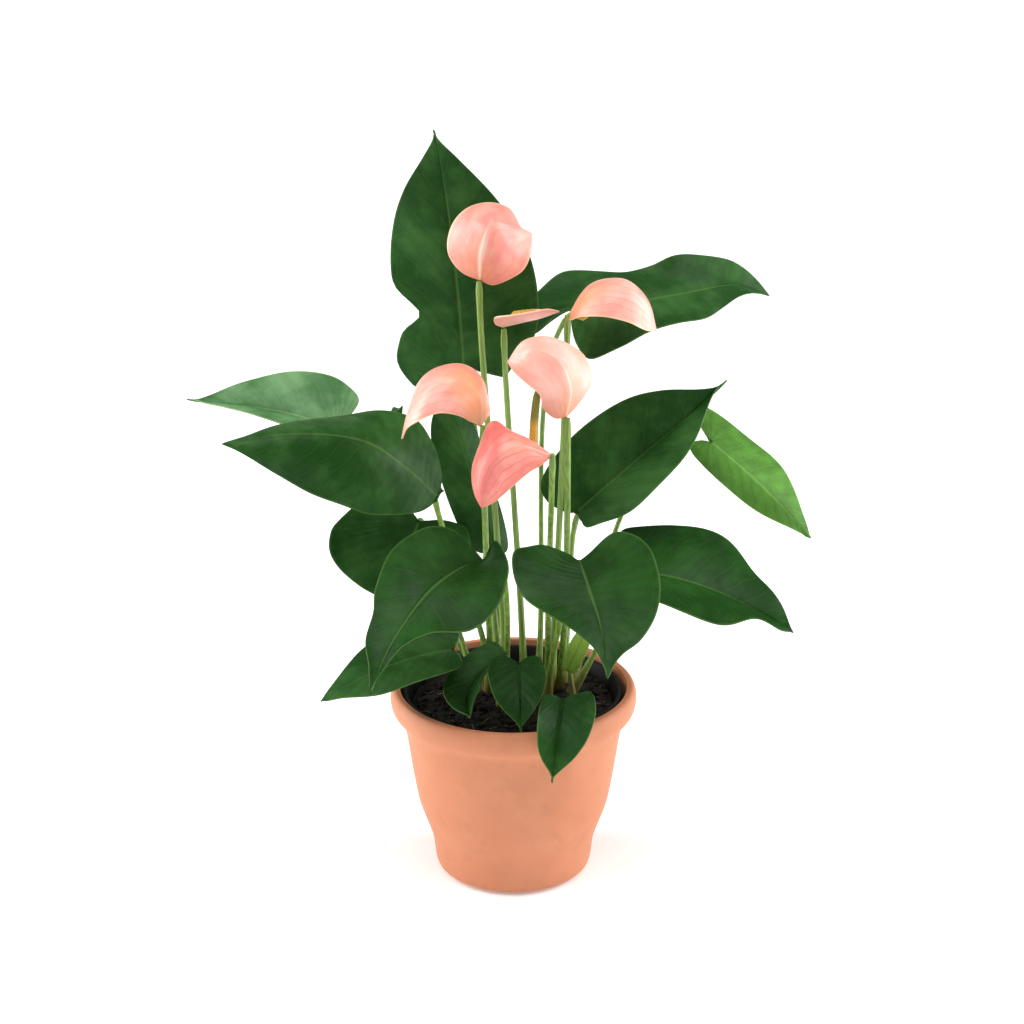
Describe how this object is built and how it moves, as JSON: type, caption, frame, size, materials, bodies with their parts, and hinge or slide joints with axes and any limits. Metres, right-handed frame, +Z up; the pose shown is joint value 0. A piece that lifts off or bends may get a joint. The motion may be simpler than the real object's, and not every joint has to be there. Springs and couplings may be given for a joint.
{
  "type": "potted anthurium",
  "caption": "Anthurium plant with heart-shaped leaves and pink spathes on slim stalks, rooted in soil in an inner pot that stands in a round cover pot with a rolled rim.",
  "frame": {"origin": "on the pot's axis, in the flat underside of the cover pot where it rests", "axes": "+Z up along the pot's axis, -Y towards the front of the plant, +X to the right seen from the front"},
  "size_m": [0.3552, 0.2063, 0.419],
  "materials": {
    "pot_terracotta": "matt terracotta-coloured moulded plastic",
    "grow_pot_black": "thin black nursery pot plastic",
    "soil_dark": "moist dark peat and bark potting mix, near wood in density",
    "leaf_green": "glossy leathery dark green leaf",
    "leaf_young": "glossy young leaf, lighter green",
    "stalk_green": "smooth green leaf and flower stalks",
    "spathe_pink": "waxy salmon pink spathe with a cream edge",
    "spadix_yellow": "finely knobbed golden yellow flower spike"
  },
  "bodies": {
    "root": {"flower_1_peduncle": "stalk_green", "flower_1_spadix": "spadix_yellow", "flower_1_spathe": "spathe_pink", "flower_2_peduncle": "stalk_green", "flower_2_spadix": "spadix_yellow", "flower_2_spathe": "spathe_pink", "flower_3_peduncle": "stalk_green", "flower_3_spadix": "spadix_yellow", "flower_3_spathe": "spathe_pink", "flower_4_peduncle": "stalk_green", "flower_4_spadix": "spadix_yellow", "flower_4_spathe": "spathe_pink", "flower_5_peduncle": "stalk_green", "flower_5_spadix": "spadix_yellow", "flower_5_spathe": "spathe_pink", "flower_6_peduncle": "stalk_green", "flower_6_spadix": "spadix_yellow", "flower_6_spathe": "spathe_pink", "grow_pot": "grow_pot_black", "leaf_01_blade": "leaf_green", "leaf_01_petiole": "stalk_green", "leaf_02_blade": "leaf_green", "leaf_02_petiole": "stalk_green", "leaf_03_blade": "leaf_young", "leaf_03_petiole": "stalk_green", "leaf_04_blade": "leaf_green", "leaf_04_petiole": "stalk_green", "leaf_05_blade": "leaf_green", "leaf_05_petiole": "stalk_green", "leaf_06_blade": "leaf_green", "leaf_06_petiole": "stalk_green", "leaf_07_blade": "leaf_green", "leaf_07_petiole": "stalk_green", "leaf_08_blade": "leaf_green", "leaf_08_petiole": "stalk_green", "leaf_09_blade": "leaf_green", "leaf_09_petiole": "stalk_green", "leaf_10_blade": "leaf_young", "leaf_10_petiole": "stalk_green", "leaf_11_blade": "leaf_green", "leaf_11_petiole": "stalk_green", "leaf_12_blade": "leaf_green", "leaf_12_petiole": "stalk_green", "leaf_13_blade": "leaf_green", "leaf_13_petiole": "stalk_green", "leaf_14_blade": "leaf_green", "leaf_14_petiole": "stalk_green", "leaf_15_blade": "leaf_green", "leaf_15_petiole": "stalk_green", "leaf_16_blade": "leaf_green", "leaf_16_petiole": "stalk_green", "leaf_17_blade": "leaf_young", "leaf_17_petiole": "stalk_green", "outer_pot": "pot_terracotta", "soil": "soil_dark"}
  },
  "joints": []
}
